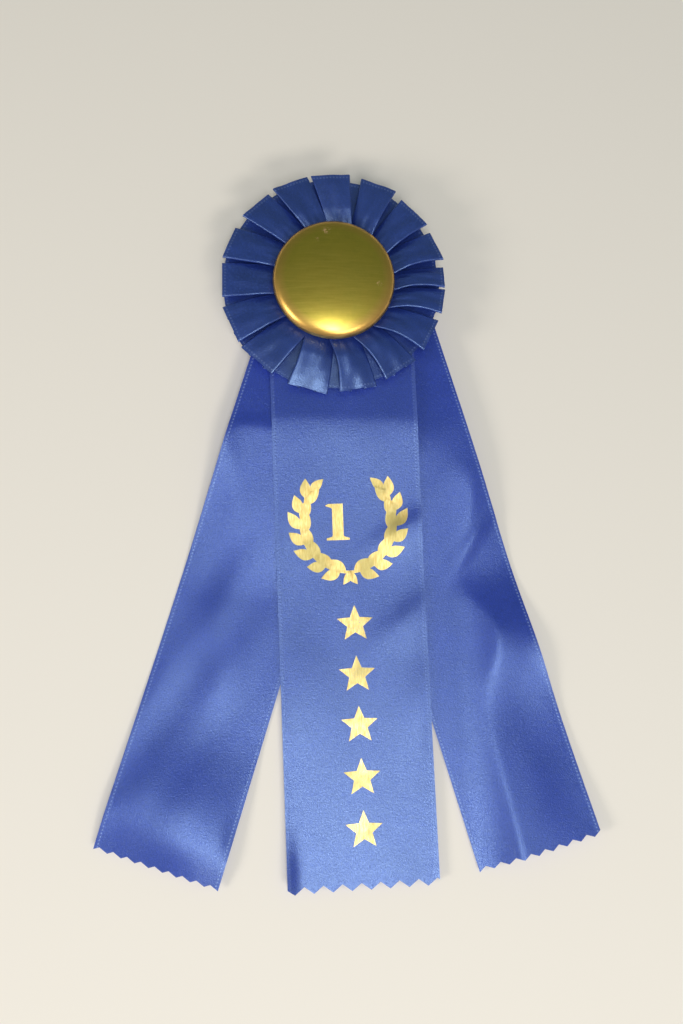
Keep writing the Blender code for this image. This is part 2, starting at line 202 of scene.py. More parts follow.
def spread(tree, value, low, high, to_low=0.0, to_high=1.0):
    """Map Range: value between low and high becomes to_low to to_high, clamped."""
    node = tree.nodes.new("ShaderNodeMapRange")
    node.inputs["From Min"].default_value = low
    node.inputs["From Max"].default_value = high
    node.inputs["To Min"].default_value = to_low
    node.inputs["To Max"].default_value = to_high
    join(tree, value, node.inputs["Value"])
    return node.outputs["Result"]


def new_group(name, inputs, outputs):
    """A shader node group with named float or vector sockets, and its two end nodes."""
    tree = bpy.data.node_groups.new(name, "ShaderNodeTree")
    for label, kind, value in inputs:
        socket = tree.interface.new_socket(label, in_out="INPUT", socket_type=kind)
        if value is not None:
            socket.default_value = value
    for label, kind in outputs:
        tree.interface.new_socket(label, in_out="OUTPUT", socket_type=kind)
    return tree, tree.nodes.new("NodeGroupInput"), tree.nodes.new("NodeGroupOutput")


FLOAT = "NodeSocketFloat"
VECTOR = "NodeSocketVector"

# %% Room light
ROOM_NEAR, ROOM_FAR = (0.88, 0.86, 0.84), (0.44, 0.52, 0.36)
ROOM_STRENGTH = 0.36
BACKDROP = (0.86, 0.85, 0.83, 1.0)
BACKDROP_STRENGTH = 0.80


def make_room():
    """The room's dim light, near to far along Y, with a plain backdrop where it is seen directly."""
    world = bpy.data.worlds.new("room")
    world.use_nodes = True
    tree = world.node_tree
    light = tree.nodes["Background"]
    apart = add_node(tree, "ShaderNodeSeparateXYZ")
    join(tree, add_node(tree, "ShaderNodeTexCoord").outputs["Generated"], apart.inputs[0])
    far_side = spread(tree, apart.outputs["Y"], -0.25, 0.55)
    join(tree, mix_colour(tree, far_side, ROOM_NEAR, ROOM_FAR), light.inputs["Color"])
    light.inputs["Strength"].default_value = ROOM_STRENGTH
    backdrop = add_node(tree, "ShaderNodeBackground", Color=BACKDROP, Strength=BACKDROP_STRENGTH)
    path = add_node(tree, "ShaderNodeLightPath")
    choose = add_node(tree, "ShaderNodeMixShader")
    join(tree, path.outputs["Is Camera Ray"], choose.inputs[0])
    join(tree, light.outputs[0], choose.inputs[1])
    join(tree, backdrop.outputs[0], choose.inputs[2])
    join(tree, choose.outputs[0], tree.nodes["World Output"].inputs["Surface"])
    bpy.context.scene.world = world


make_room()


# %% Table
TABLE_REACH = 3.0
TABLE_DROP = 0.00005


def make_table():
    """A plain pale table top, a hair below the ribbon; clear from below and to shadows."""
    made, tree, shader = new_material("table_pale")
    shader.inputs["Base Color"].default_value = (0.80, 0.795, 0.78, 1.0)
    shader.inputs["Roughness"].default_value = 0.9
    shader.inputs["Specular IOR Level"].default_value = 0.2
    clear = add_node(tree, "ShaderNodeBsdfTransparent")
    side = add_node(tree, "ShaderNodeNewGeometry")
    path = add_node(tree, "ShaderNodeLightPath")
    mix = add_node(tree, "ShaderNodeMixShader")
    passes = maths(tree, "MAXIMUM", side.outputs["Backfacing"], path.outputs["Is Shadow Ray"])
    join(tree, passes, mix.inputs[0])
    join(tree, shader.outputs[0], mix.inputs[1])
    join(tree, clear.outputs[0], mix.inputs[2])
    join(tree, mix.outputs[0], tree.nodes["Material Output"].inputs["Surface"])
    mesh = bpy.data.meshes.new("table_top")
    signs = ((-1, -1), (1, -1), (1, 1), (-1, 1))
    corners = [(x * TABLE_REACH, y * TABLE_REACH, -TABLE_DROP) for x, y in signs]
    mesh.from_pydata(corners, [], [(0, 1, 2, 3)])
    mesh.materials.append(made)
    table = bpy.data.objects.new("table_top", mesh)
    bpy.context.scene.collection.objects.link(table)
    return table


make_table()
print("stage ready")

# %% [markdown]
# ## Cloth as a thin shell
# Real ribbon is a quarter of a millimetre thick, and an edge that thin is what makes it read as
# cloth. A sheet could be a flat plane with a Solidify modifier, but a shell worked out from a
# grid of middle points gives the same thing with a thickness that may vary: the woven edges of
# a ribbon are thicker than its middle. Each grid point is moved half the thickness along its
# normal both ways, and a strip of faces closes the rim.

# %% Shell builder


def grid_normals(mid, wrap):
    """Unit normals of a grid: the cross product of its steps along rows and along columns."""
    if wrap:
        along = np.roll(mid, -1, axis=0) - np.roll(mid, 1, axis=0)
    else:
        along = np.gradient(mid, axis=0)
    across = np.gradient(mid, axis=1)
    normal = np.cross(along, across)
    length = np.linalg.norm(normal, axis=2, keepdims=True)
    return normal / np.maximum(length, 1e-9)


def shell_arrays(mid, thick, uv, wrap=False, normal=None, lap=(0.0, 0.0)):
    """Points, quads and corner UVs of a closed shell round a grid of middle points.

    Points are mid + normal * thick / 2 in front and mid - normal * thick / 2 behind. A grid that
    closes on itself goes once more past its first row, where the map has grown by lap.
    """
    rows, cols = mid.shape[:2]
    normal = grid_normals(mid, wrap) if normal is None else np.broadcast_to(normal, mid.shape)
    half = np.broadcast_to(np.asarray(thick, float), (rows, cols))[..., None] / 2
    above, below = mid + normal * half, mid - normal * half
    points = np.concatenate([above.reshape(-1, 3), below.reshape(-1, 3)])
    index = np.arange(rows * cols).reshape(rows, cols)
    if wrap:
        index = np.vstack([index, index[:1]])
        uv = np.concatenate([uv, uv[:1] + np.array(lap)])
    flat_uv = uv.reshape(-1, 2)
    place = np.arange(index.size).reshape(index.shape)

    def corners(grid):
        """The four corners of every cell of a grid of numbers."""
        cells = [grid[:-1, :-1], grid[1:, :-1], grid[1:, 1:], grid[:-1, 1:]]
        return np.stack(cells, axis=-1).reshape(-1, 4)

    front, front_uv = corners(index), corners(place)
    back, back_uv = corners(index)[:, ::-1] + rows * cols, corners(place)[:, ::-1]
    if wrap:
        rims = [(index[:, 0], place[:, 0]), (index[::-1, -1], place[::-1, -1])]
    else:
        loop = np.concatenate([index[:, 0], index[-1, 1:], index[-2::-1, -1], index[0, -2::-1]])
        turn = np.concatenate([place[:, 0], place[-1, 1:], place[-2::-1, -1], place[0, -2::-1]])
        rims = [(loop, turn)]
    quads, marks = [front, back], [front_uv, back_uv]
    for loop, turn in rims:
        near, far = loop[:-1], loop[1:]
        quads.append(np.stack([far, near, near + rows * cols, far + rows * cols], axis=1))
        marks.append(np.stack([turn[1:], turn[:-1], turn[:-1], turn[1:]], axis=1))
    return points, np.concatenate(quads), flat_uv[np.concatenate(marks)]


def make_piece(name, parts, material, merge=False, sharp=50.0):
    """One object from a list of (points in mm, quads, corner UVs), in the part's frame."""
    shift = np.cumsum([0] + [len(part[0]) for part in parts[:-1]])
    points = to_part(np.concatenate([part[0] for part in parts]))
    quads = np.concatenate([part[1] + start for part, start in zip(parts, shift)])
    uv = np.concatenate([part[2].reshape(-1, 2) for part in parts])
    mesh = bpy.data.meshes.new(name)
    mesh.vertices.add(len(points))
    mesh.vertices.foreach_set("co", points.ravel())
    mesh.loops.add(quads.size)
    mesh.loops.foreach_set("vertex_index", quads.ravel().astype(np.int32))
    mesh.polygons.add(len(quads))
    mesh.polygons.foreach_set("loop_start", (np.arange(len(quads)) * 4).astype(np.int32))
    mesh.update(calc_edges=True)
    layer = mesh.uv_layers.new(name="ribbon")
    layer.data.foreach_set("uv", uv.ravel().astype(np.float32))
    if merge:
        work = bmesh.new()
        work.from_mesh(mesh)
        bmesh.ops.remove_doubles(work, verts=work.verts, dist=1e-7)
        work.to_mesh(mesh)
        work.free()
    mesh.polygons.foreach_set("use_smooth", np.ones(len(mesh.polygons), bool))
    mesh.set_sharp_from_angle(angle=math.radians(sharp))
    mesh.materials.append(material)
    piece = bpy.data.objects.new(name, mesh)
    bpy.context.scene.collection.objects.link(piece)
    print(f"{name}: {len(mesh.polygons)} faces")
    return piece


def ease(value):
    """0 to 1 with level ends: 3t^2 - 2t^3."""
    t = np.clip(value, 0.0, 1.0)
    return t * t * (3.0 - 2.0 * t)

# %% [markdown]
# ## Satin
# Satin is woven so that long floating threads lie side by side along the ribbon. Light slides
# off them in a band across the threads, which a painted highlight could not do when the ribbon
# moves, so the shader is told the thread direction and stretches its gloss across it. The weave
# group gives fine thread lines, cross ribs, grain, painted glints (pale specks in the colour that
# stand in for single threads catching the light) and broad clouds, all in millimetres on the
# cloth's own map, and the edge group gives the row of small stitches that binds each edge.
#
# Blue satin shines blue, because the light goes in and out of dyed threads, so the gloss has a colour
# of its own. The three satins stand for one cloth, yet differ in it and in depth: the gloss of the
# tails at the sides is set a little weaker than the centre one, and the ruffle's blues and gloss
# darker, as painted shade to balance them under these lights.

# %% Weave group
RIBS_PER_MM = 2.2
LINE_RELIEF, RIB_RELIEF, SLUB_RELIEF, GRAIN_RELIEF = 0.4, 0.12, 2.0, 5.0


def build_weave():
    """Threads, ribs, grain and clouds from a map in mm: u across the ribbon, v along it."""
    tree, start, end = new_group(
        "satin_weave",
        [("Map", VECTOR, None), ("Threads per mm", FLOAT, 3.0)],
        [(label, FLOAT) for label in ("Shade", "Height", "Painted glint", "Grain", "Cloud")],
    )
    split = add_node(tree, "ShaderNodeSeparateXYZ")
    join(tree, start.outputs["Map"], split.inputs[0])
    across = maths(tree, "MULTIPLY", split.outputs["X"], start.outputs["Threads per mm"])
    lines = maths(tree, "SINE", maths(tree, "MULTIPLY", across, 2 * math.pi))
    ribs = maths(tree, "SINE", maths(tree, "MULTIPLY", split.outputs["Y"], 2 * math.pi * RIBS_PER_MM))
    stretch = add_node(tree, "ShaderNodeCombineXYZ")
    join(tree, maths(tree, "MULTIPLY", split.outputs["X"], 2.4), stretch.inputs["X"])
    join(tree, maths(tree, "MULTIPLY", split.outputs["Y"], 0.8), stretch.inputs["Y"])
    slub = add_node(tree, "ShaderNodeTexNoise", Scale=1.0, Detail=3.0, Roughness=0.6)
    join(tree, stretch.outputs[0], slub.inputs["Vector"])
    grain = add_node(tree, "ShaderNodeTexNoise", Scale=2.0, Detail=2.0, Roughness=0.75)
    join(tree, start.outputs["Map"], grain.inputs["Vector"])
    cloud = add_node(tree, "ShaderNodeTexNoise", Scale=0.07, Detail=2.0, Roughness=0.5)
    join(tree, start.outputs["Map"], cloud.inputs["Vector"])
    height = maths(tree, "MULTIPLY", lines, LINE_RELIEF)
    for wave, relief in (
        (ribs, RIB_RELIEF),
        (slub.outputs["Fac"], SLUB_RELIEF),
        (grain.outputs["Fac"], GRAIN_RELIEF),
    ):
        height = maths(tree, "ADD", height, maths(tree, "MULTIPLY", wave, relief))
    join(tree, spread(tree, slub.outputs["Fac"], 0.3, 0.7, 0.74, 1.26), end.inputs["Shade"])
    join(tree, height, end.inputs["Height"])
    # Painted glint: the brightest grain specks, later mixed into the colour as threads catching the light.
    join(tree, spread(tree, grain.outputs["Fac"], 0.52, 0.72), end.inputs["Painted glint"])
    join(tree, spread(tree, grain.outputs["Fac"], 0.34, 0.66), end.inputs["Grain"])
    join(tree, spread(tree, cloud.outputs["Fac"], 0.35, 0.65), end.inputs["Cloud"])
    return tree


WEAVE = build_weave()


# %% Edge stitch group
def build_edge_stitches():
    """A dotted line at a set distance inside both edges of a ribbon, and the band outside it.

    Dots = near the line * (sin(2 pi v / pitch) above a threshold), Band = within 1.6 mm of an edge.
    """
    tree, start, end = new_group(
        "edge_stitches",
        [("Map", VECTOR, None), ("Width", FLOAT, 43.0), ("Inset", FLOAT, 1.0), ("Pitch", FLOAT, 1.2)],
        [("Dots", FLOAT), ("Band", FLOAT)],
    )
    split = add_node(tree, "ShaderNodeSeparateXYZ")
    join(tree, start.outputs["Map"], split.inputs[0])
    half = maths(tree, "MULTIPLY", start.outputs["Width"], 0.5)
    inside = maths(tree, "SUBTRACT", half, maths(tree, "ABSOLUTE", split.outputs["X"]))
    from_line = maths(tree, "ABSOLUTE", maths(tree, "SUBTRACT", inside, start.outputs["Inset"]))
    line = spread(tree, from_line, 0.10, 0.34, 1.0, 0.0)
    turns = maths(tree, "DIVIDE", split.outputs["Y"], start.outputs["Pitch"])
    beat = maths(tree, "SINE", maths(tree, "MULTIPLY", turns, 2 * math.pi))
    dots = maths(tree, "MULTIPLY", line, spread(tree, beat, -0.3, 0.5))
    join(tree, dots, end.inputs["Dots"])
    join(tree, spread(tree, inside, 0.5, 1.6, 1.0, 0.0), end.inputs["Band"])
    return tree


EDGE_STITCHES = build_edge_stitches()


# %% Satin material
# The glint blue is a painted highlight; the stitch and band blues are the threads' own colours.
STITCH_BLUE, BAND_BLUE, PAINTED_GLINT_BLUE = (0.30, 0.42, 0.80), (0.13, 0.20, 0.55), (0.10, 0.20, 0.72)


def make_satin(name, width, edge_marks, gloss, blues, painted_glint_share):
    """Blue satin for a ribbon of this width.

    edge_marks are the strength of its stitches and of the band outside them, gloss the colour of
    its shine, blues the pale and the deep one that drift into each other, and the last how strongly
    a painted glint is mixed into the colour: pale specks standing in for single threads catching
    the light.
    """
    (dots, band), (pale, deep) = edge_marks, blues
    made, tree, shader = new_material(name)
    uv = add_node(tree, "ShaderNodeUVMap", uv_map="ribbon")
    weave = add_node(tree, "ShaderNodeGroup", node_tree=WEAVE)
    join(tree, uv.outputs[0], weave.inputs["Map"])
    edge = add_node(tree, "ShaderNodeGroup", node_tree=EDGE_STITCHES)
    join(tree, uv.outputs[0], edge.inputs["Map"])
    edge.inputs["Width"].default_value = width
    body = mix_colour(tree, weave.outputs["Cloud"], deep, pale)
    shade = mix_colour(tree, 1.0, body, (1.0, 1.0, 1.0))
    shade.node.blend_type = "MULTIPLY"
    tint = add_node(tree, "ShaderNodeCombineXYZ")
    for axis_name in "XYZ":
        join(tree, weave.outputs["Shade"], tint.inputs[axis_name])
    join(tree, tint.outputs[0], shade.node.inputs[7])
    lit = shade
    for mask, amount, colour in (
        (edge.outputs["Dots"], dots, STITCH_BLUE),
        (edge.outputs["Band"], band, BAND_BLUE),
        # painted glint: pale blue specks mixed into the colour where single threads would catch the light
        (weave.outputs["Painted glint"], painted_glint_share, PAINTED_GLINT_BLUE),
    ):
        lit = mix_colour(tree, maths(tree, "MULTIPLY", mask, amount), lit, colour)
    join(tree, lit, shader.inputs["Base Color"])
    rough = spread(tree, weave.outputs["Grain"], 0.0, 1.0, 0.37, 0.25)
    join(tree, rough, shader.inputs["Roughness"])
    shader.inputs["Metallic"].default_value = 0.0
    shader.inputs["IOR"].default_value = 2.5
    shader.inputs["Specular Tint"].default_value = gloss
    shader.inputs["Anisotropic"].default_value = 0.30
    shader.inputs["Sheen Weight"].default_value = 0.06
    shader.inputs["Sheen Roughness"].default_value = 0.4
    shader.inputs["Sheen Tint"].default_value = (0.55, 0.65, 1.0, 1.0)
    tangent = add_node(tree, "ShaderNodeTangent", direction_type="UV_MAP", uv_map="ribbon")
    join(tree, tangent.outputs[0], shader.inputs["Tangent"])
    stitches = maths(tree, "MULTIPLY", edge.outputs["Dots"], 1.5)
    height = maths(tree, "ADD", weave.outputs["Height"], stitches)
    bump = add_node(tree, "ShaderNodeBump", Strength=0.7, Distance=0.00002)
    join(tree, height, bump.inputs["Height"])
    join(tree, bump.outputs[0], shader.inputs["Normal"])
    return made


LEFT_WIDTH, RIGHT_WIDTH, CENTRE_WIDTH, RUFFLE_WIDTH = 43.4, 43.0, 50.8, 25.0
SIDE_WIDTH = 43.2
SIDE_EDGE, CENTRE_EDGE, RUFFLE_EDGE = (0.50, 0.08), (0.10, 0.22), (0.22, 0.06)
TAIL_BLUES = ((0.018, 0.040, 0.370), (0.012, 0.031, 0.320))
# Painted shade: the ruffle's blues and gloss and the side tails' gloss are darker copies of the one satin.
RUFFLE_BLUES_PAINTED_SHADE = ((0.012, 0.032, 0.235), (0.008, 0.022, 0.175))
SIDE_GLOSS_PAINTED_SHADE = (0.31, 0.47, 0.80, 1.0)
CENTRE_GLOSS = (0.41, 0.62, 1.0, 1.0)
RUFFLE_GLOSS_PAINTED_SHADE = (0.36, 0.56, 0.92, 1.0)
# The last argument is the share of painted glint in the colour, larger on the ruffle.
SIDE_SATIN_PAINTED_SHADE = make_satin("satin_side_tails_painted_shade", SIDE_WIDTH, SIDE_EDGE, SIDE_GLOSS_PAINTED_SHADE, TAIL_BLUES, 0.32)
CENTRE_SATIN = make_satin("satin_centre_tail", CENTRE_WIDTH, CENTRE_EDGE, CENTRE_GLOSS, TAIL_BLUES, 0.32)
RUFFLE_SATIN_PAINTED_SHADE = make_satin("satin_ruffle_painted_shade", RUFFLE_WIDTH, RUFFLE_EDGE, RUFFLE_GLOSS_PAINTED_SHADE, RUFFLE_BLUES_PAINTED_SHADE, 0.50)
print("satins ready")

# %% [markdown]
# ## The tails
# Each tail is a strip of ribbon with its end cut by pinking shears, so that it does not fray.
# It leaves the cards a few millimetres up, comes down to the table over its own length, and
# keeps soft waves from the roll it was cut from. A physics cloth would settle differently in
# every build; a height made from a slope plus a short list of long soft swells can be placed.

# %% Tail strip
CLOTH = 0.25
STRAIGHT_FROM = 9.0
LYING = 0.17


def pinking(beat, depth, first, lean):
    """Depth of the zigzag cut: 0 on a tip, depth in a notch, with the far flank's share in lean."""
    place = (beat - first) % 1.0
    return depth * np.minimum(place / (1.0 - lean), (1.0 - place) / lean)


def strip_plan(width, tilt, end, teeth, top_y, slant, cut, step=1.35):
    """Flat plan of a ribbon strip: rows from the top line to the cut end, columns edge to edge.

    The cut end is a zigzag; rows further than 9 mm from it are straight. Gives x, y, u, v in mm.
    """
    turn = math.radians(tilt)
    across = np.array([math.cos(turn), math.sin(turn)])
    along = np.array([math.sin(turn), -math.cos(turn)])
    side = np.linspace(-width / 2, width / 2, int(round(teeth * 8)) + 1)
    notch = pinking((side + width / 2) / width * teeth, *cut) + side * math.tan(math.radians(slant))
    tip = np.array(end) + side[:, None] * across
    reach = (tip[:, 1] - top_y) / along[1]
    rows = int(reach.max() / step)
    far = np.linspace(0.0, 1.0, rows)[:, None] * reach
    far = far - notch * np.clip((far - reach + STRAIGHT_FROM) / STRAIGHT_FROM, 0.0, 1.0)
    start = tip - reach[:, None] * along
    flat = start + far[..., None] * along
    return flat[..., 0], flat[..., 1], np.broadcast_to(side, far.shape), far


def swell(x, y, list_of_swells):
    """Sum of long soft ridges: height * exp(-(p / length)^2 - (q / width)^2), p along the crest.

    The width is given twice, for the side above the crest (q > 0) and for the side below it.
    """
    total = np.zeros_like(x)
    for place_x, place_y, heading, length, above, below, height in list_of_swells:
        c, s = math.cos(math.radians(heading)), math.sin(math.radians(heading))
        p = (x - place_x) * c + (y - place_y) * s
        q = (y - place_y) * c - (x - place_x) * s
        width = np.where(q > 0, above, below)
        total = total + height * np.exp(-((p / length) ** 2) - (q / width) ** 2)
    return total


def centre_low(x, y):
    """Underside of the centre tail's layer: 8.1 mm at the rosette, sinking to 2 mm lower down.

    With d the distance past the bend, it sinks by 1 - (1 - t)^2.2, where t = d^2 / (d + 3) / 80.
    """
    past = np.maximum(-y - 46.5, 0.0)
    t = np.clip(past**2 / (past + 3.0) / 80.0, 0.0, 1.0)
    return 8.1 - 6.1 * (1.0 - (1.0 - t) ** 2.2)


def side_low(x, y, pivot, high):
    """Underside of a side tail: eased from its layer down to the table, by distance from its rivet."""
    return high * (1.0 - ease((np.hypot(x - pivot[0], y - pivot[1]) - 40.0) / 64.0))


def selvedge(u, width):
    """Thickness in mm across a ribbon: a slightly fatter woven edge."""
    inside = width / 2 - np.abs(u)
    return CLOTH + 0.10 * np.exp(-((inside - 0.35) / 0.35) ** 2)


# %% Side tails
LEFT_RIVET, RIGHT_RIVET = (-16.5, -8.0), (25.5, -8.0)
LEFT_GAP, RIGHT_GAP = 0.42, 0.85
CEILING_RISE, CEILING_SOFTNESS = 0.014, 0.3
LEFT_SWELLS = (
    (-32.0, -50.0, -16.0, 20.0, 5.0, 12.0, 1.6), (-34.0, -108.0, 64.0, 26.0, 9.0, 9.0, 0.8),
    (-36.0, -136.0, 70.0, 16.0, 8.0, 8.0, 0.9), (-66.0, -150.0, 62.0, 22.0, 6.0, 6.0, 0.6),
    (-52.0, -187.0, -24.0, 34.0, 24.0, 15.0, 4.6), (-78.0, -186.0, 72.0, 12.0, 6.0, 6.0, 0.7),
)
RIGHT_SWELLS = (
    (36.0, -84.0, 53.7, 24.0, 8.0, 13.0, 2.2), (44.5, -95.5, 53.7, 17.0, 2.6, 2.0, 1.2),
    (56.0, -122.5, -12.0, 28.0, 15.0, 16.0, 3.4), (76.0, -129.0, -72.0, 10.0, 3.0, 5.0, 1.0),
    (78.0, -208.0, 17.0, 60.0, 32.0, 30.0, 3.6),
    (48.0, -180.0, -73.0, 44.0, 32.0, 24.0, 3.4),
)


def side_tail(name, body, plan, width, pivot, high, gap, swells):
    """A side tail's cloth: the lower of its own swells and a ceiling under the centre tail.

    The two are joined by the soft least value, -s * log(exp(-m / s) + exp(-c / s)), and the ceiling
    rises with the square of the distance past the centre tail's edge, so no step shows. The right
    tail lies under the left one, so its gap below the centre tail is larger.
    """
    x, y, u, v = plan
    mid = side_low(x, y, pivot, high) + 0.2 + swell(x, y, swells) * ease((v - 48.0) / 14.0)
    ripple = 0.10 * np.sin(u * 0.33 + v * 0.05) * np.sin(v * 0.09 + 0.7)
    mid = np.maximum(mid + ripple * ease((v - 50.0) / 12.0), LYING)
    beyond = np.maximum(np.abs(x - 3.0 - 0.0428 * (-y)) - 34.5, 0.0)
    ceiling = centre_low(x, y) - gap + CEILING_RISE * beyond**2
    mid = -CEILING_SOFTNESS * np.logaddexp(-mid / CEILING_SOFTNESS, -ceiling / CEILING_SOFTNESS)
    mid = np.maximum(mid, LYING)
    cloth = shell_arrays(np.stack([x, y, mid], axis=2), selvedge(u, width), np.stack([u, v], axis=2))
    piece = make_piece(name, [cloth], SIDE_SATIN_PAINTED_SHADE)
    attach(piece, body)
    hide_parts(body)
    return piece


left_plan = strip_plan(LEFT_WIDTH, -16.6, (-58.0, -199.1), 9.0, 3.0, -1.9, (1.2, 0.0, 0.625))
right_plan = strip_plan(RIGHT_WIDTH, 17.3, (70.5, -194.8), 8.5, 3.0, -0.7, (1.5, 0.0, 0.5))
side_tail(
    "left_tail_cloth", "left_tail", left_plan, LEFT_WIDTH,
    LEFT_RIVET, 6.8, LEFT_GAP, LEFT_SWELLS,
)
side_tail(
    "right_tail_cloth", "right_tail", right_plan, RIGHT_WIDTH,
    RIGHT_RIVET, 5.6, RIGHT_GAP, RIGHT_SWELLS,
)

# %% Centre tail
CENTRE_SWELLS = (
    (-14.0, -84.0, 84.0, 20.0, 7.0, 7.0, 0.4), (28.0, -84.0, 30.0, 14.0, 4.0, 8.0, 0.7),
    (27.0, -116.0, 40.0, 14.0, 5.0, 9.0, 0.6), (32.0, -143.0, 78.0, 16.0, 6.0, 6.0, 0.5),
    (-12.0, -146.0, 84.0, 20.0, 7.0, 7.0, 0.4), (-15.5, -204.0, 90.0, 13.0, 3.6, 3.6, 2.0),
)


def centre_mid(x, y):
    """Middle height of the centre tail: its layer, long swells and a faint ripple, all above it."""
    height = centre_low(x, y) + 0.2 + swell(x, y, CENTRE_SWELLS) * ease((-y - 46.0) / 10.0)
    ripple = 0.06 * (1.0 + np.sin(x * 0.22 + y * 0.03) * np.sin(y * 0.07))
    return height + ripple * ease((-y - 46.0) / 10.0)


cx, cy, cu, cv = strip_plan(CENTRE_WIDTH, 2.45, (11.0, -206.1), 8.0, -21.0, 0.85, (2.4, 0.375, 0.5))
centre_place = np.stack([cx, cy, centre_mid(cx, cy)], axis=2)
centre_cloth = shell_arrays(centre_place, selvedge(cu, CENTRE_WIDTH), np.stack([cu, cv], axis=2))
centre_tail = make_piece("centre_tail_cloth", [centre_cloth], CENTRE_SATIN)
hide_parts("centre_tail_top", "centre_tail")
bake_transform(centre_tail)
print("tails laid")

# %% [markdown]
# ## Gold foil
# The wreath, the numeral and the stars are hot-stamped: a heated die presses gold foil on the
# satin, and the weave stays visible through it as fine streaks. Each shape here is a thin closed
# piece that follows the height of the tail. Its outline is a width that changes along a spine,
# which is how a die maker would draw a leaf.

# %% Foil shapes
FOIL = 0.05
UP = np.array([0.0, 0.0, 1.0])


def foil_arrays(x, y, wrap=False):
    """A thin closed piece over a plan grid, lying on the centre tail."""
    mid = np.stack([x, y, centre_mid(x, y) + CLOTH / 2 + FOIL / 2 + 0.03], axis=2)
    return shell_arrays(mid, FOIL, np.stack([x, y], axis=2), wrap=wrap, normal=UP)


def leaf(base, heading, length, width, bend=0.0, steps=12, across=7):
    """A leaf: spine = base + t * length, turned by bend; half width = width * sin(pi t^0.85) / 2."""
    t = np.linspace(0.0, 1.0, steps)[:, None]
    s = np.linspace(1.0, -1.0, across)[None, :]
    turn = math.radians(heading) + math.radians(bend) * t
    spine_x = base[0] + length * t * np.cos(turn)
    spine_y = base[1] + length * t * np.sin(turn)
    half = width / 2 * np.maximum(np.sin(math.pi * t ** 0.85), 0.015)
    return foil_arrays(spine_x - s * half * np.sin(turn), spine_y + s * half * np.cos(turn))


def star(x, y, radius, tilt=0.0):
    """A five-pointed star with straight flanks, fold 0 on a point and 1 in a notch.

    Radius r = R * 0.44 * sin(36) / (0.44 * sin(36 * (1 - fold)) + sin(36 * fold)), angles in degrees.
    """
    angle = np.linspace(0.0, 2 * math.pi, 40, endpoint=False)[:, None]
    share = np.linspace(1.0, 0.0, 5)[None, :]
    fold = np.abs(((angle / (2 * math.pi) * 5.0) + 0.5) % 1.0 - 0.5) * 2.0
    inner, fifth = 0.44, math.pi / 5
    flank = inner * np.sin(fifth * (1 - fold)) + np.sin(fifth * fold) + 1e-9
    edge = radius * math.sin(fifth) * inner / flank
    turn = angle + math.pi / 2 + math.radians(tilt)
    return foil_arrays(x + share * edge * np.cos(turn), y + share * edge * np.sin(turn), wrap=True)


def numeral_one(x, y, tall):
    """A seriffed figure one: at each height it spans from a left edge to a right edge."""
    t = np.linspace(0.0, 1.0, 80)[:, None]
    s = np.linspace(0.0, 1.0, 9)[None, :]
    stations = [0.0, 0.06, 0.075, 0.10, 0.14, 0.86, 0.88, 0.925, 0.955, 0.97, 1.0]
    left = [-0.32, -0.32, -0.24, -0.17, -0.15, -0.15, -0.16, -0.27, -0.36, -0.30, -0.24]
    right = [0.31, 0.31, 0.23, 0.17, 0.15, 0.15, 0.15, 0.15, 0.15, 0.15, 0.15]
    lean = math.radians(2.4)
    rise = t * tall - tall / 2
    side = (np.interp(t, stations, left) * (1 - s) + np.interp(t, stations, right) * s) * tall
    px = x + side * math.cos(lean) - rise * math.sin(lean)
    py = y + side * math.sin(lean) + rise * math.cos(lean)
    return foil_arrays(px, py)


def wreath(centre, wide, tall, lean=2.4):
    """Two laurel branches from the bottom middle: pairs of leaves along an oval, and the stems.

    A place on a branch is centre + (wide * sin(a), -tall * cos(a)), a = 0 at the bottom.
    """
    pieces = []
    tilt = math.radians(lean)
    sizes = (1.0, 0.94, 1.04, 0.98, 1.06, 0.96, 1.0)

    def on_oval(hand, turn, reach=1.0):
        """A place on a branch, leaned with the ribbon."""
        x, y = hand * wide * reach * np.sin(turn), -tall * reach * np.cos(turn)
        c, s = math.cos(tilt), math.sin(tilt)
        return centre[0] + x * c - y * s, centre[1] + x * s + y * c

    for hand in (-1.0, 1.0):
        for n, size in enumerate(sizes):
            turn = math.radians(6.0 + 18.2 * n)
            ahead = 90.0 - hand * (90.0 - math.degrees(turn)) + lean
            outer, inner = (34.0, 30.0) if n < 5 else (26.0, 32.0)
            low, high = on_oval(hand, turn - 0.02), on_oval(hand, turn + 0.10)
            pieces.append(leaf(low, ahead + hand * outer, 8.2 * size, 4.0, -hand * 8.0))
            pieces.append(leaf(high, ahead - hand * inner, 7.0 * size, 3.8, hand * 6.0))
        turn = math.radians(130.0)
        ahead = 90.0 - hand * (90.0 - 130.0) + lean
        pieces.append(leaf(on_oval(hand, turn), ahead, 6.4, 3.2, hand * 6.0))
        pieces.append(leaf(on_oval(hand, 0.05, 0.985), 270.0 - hand * 36.0 + lean, 5.6, 2.7))
        t = np.radians(np.linspace(-2.0, 132.0, 70))[:, None]
        s = np.linspace(1.0, -1.0, 3)[None, :] * hand
        x, y = on_oval(hand, t, 1.0 + s * (0.030 - 0.008 * t))
        pieces.append(foil_arrays(x, y))
    return pieces


# %% Stamp the foil
WREATH_AT = (5.6, -83.4)
STARS = ((8.0, -118.2), (8.7, -135.4), (9.5, -152.3), (10.3, -169.7), (11.0, -186.8))


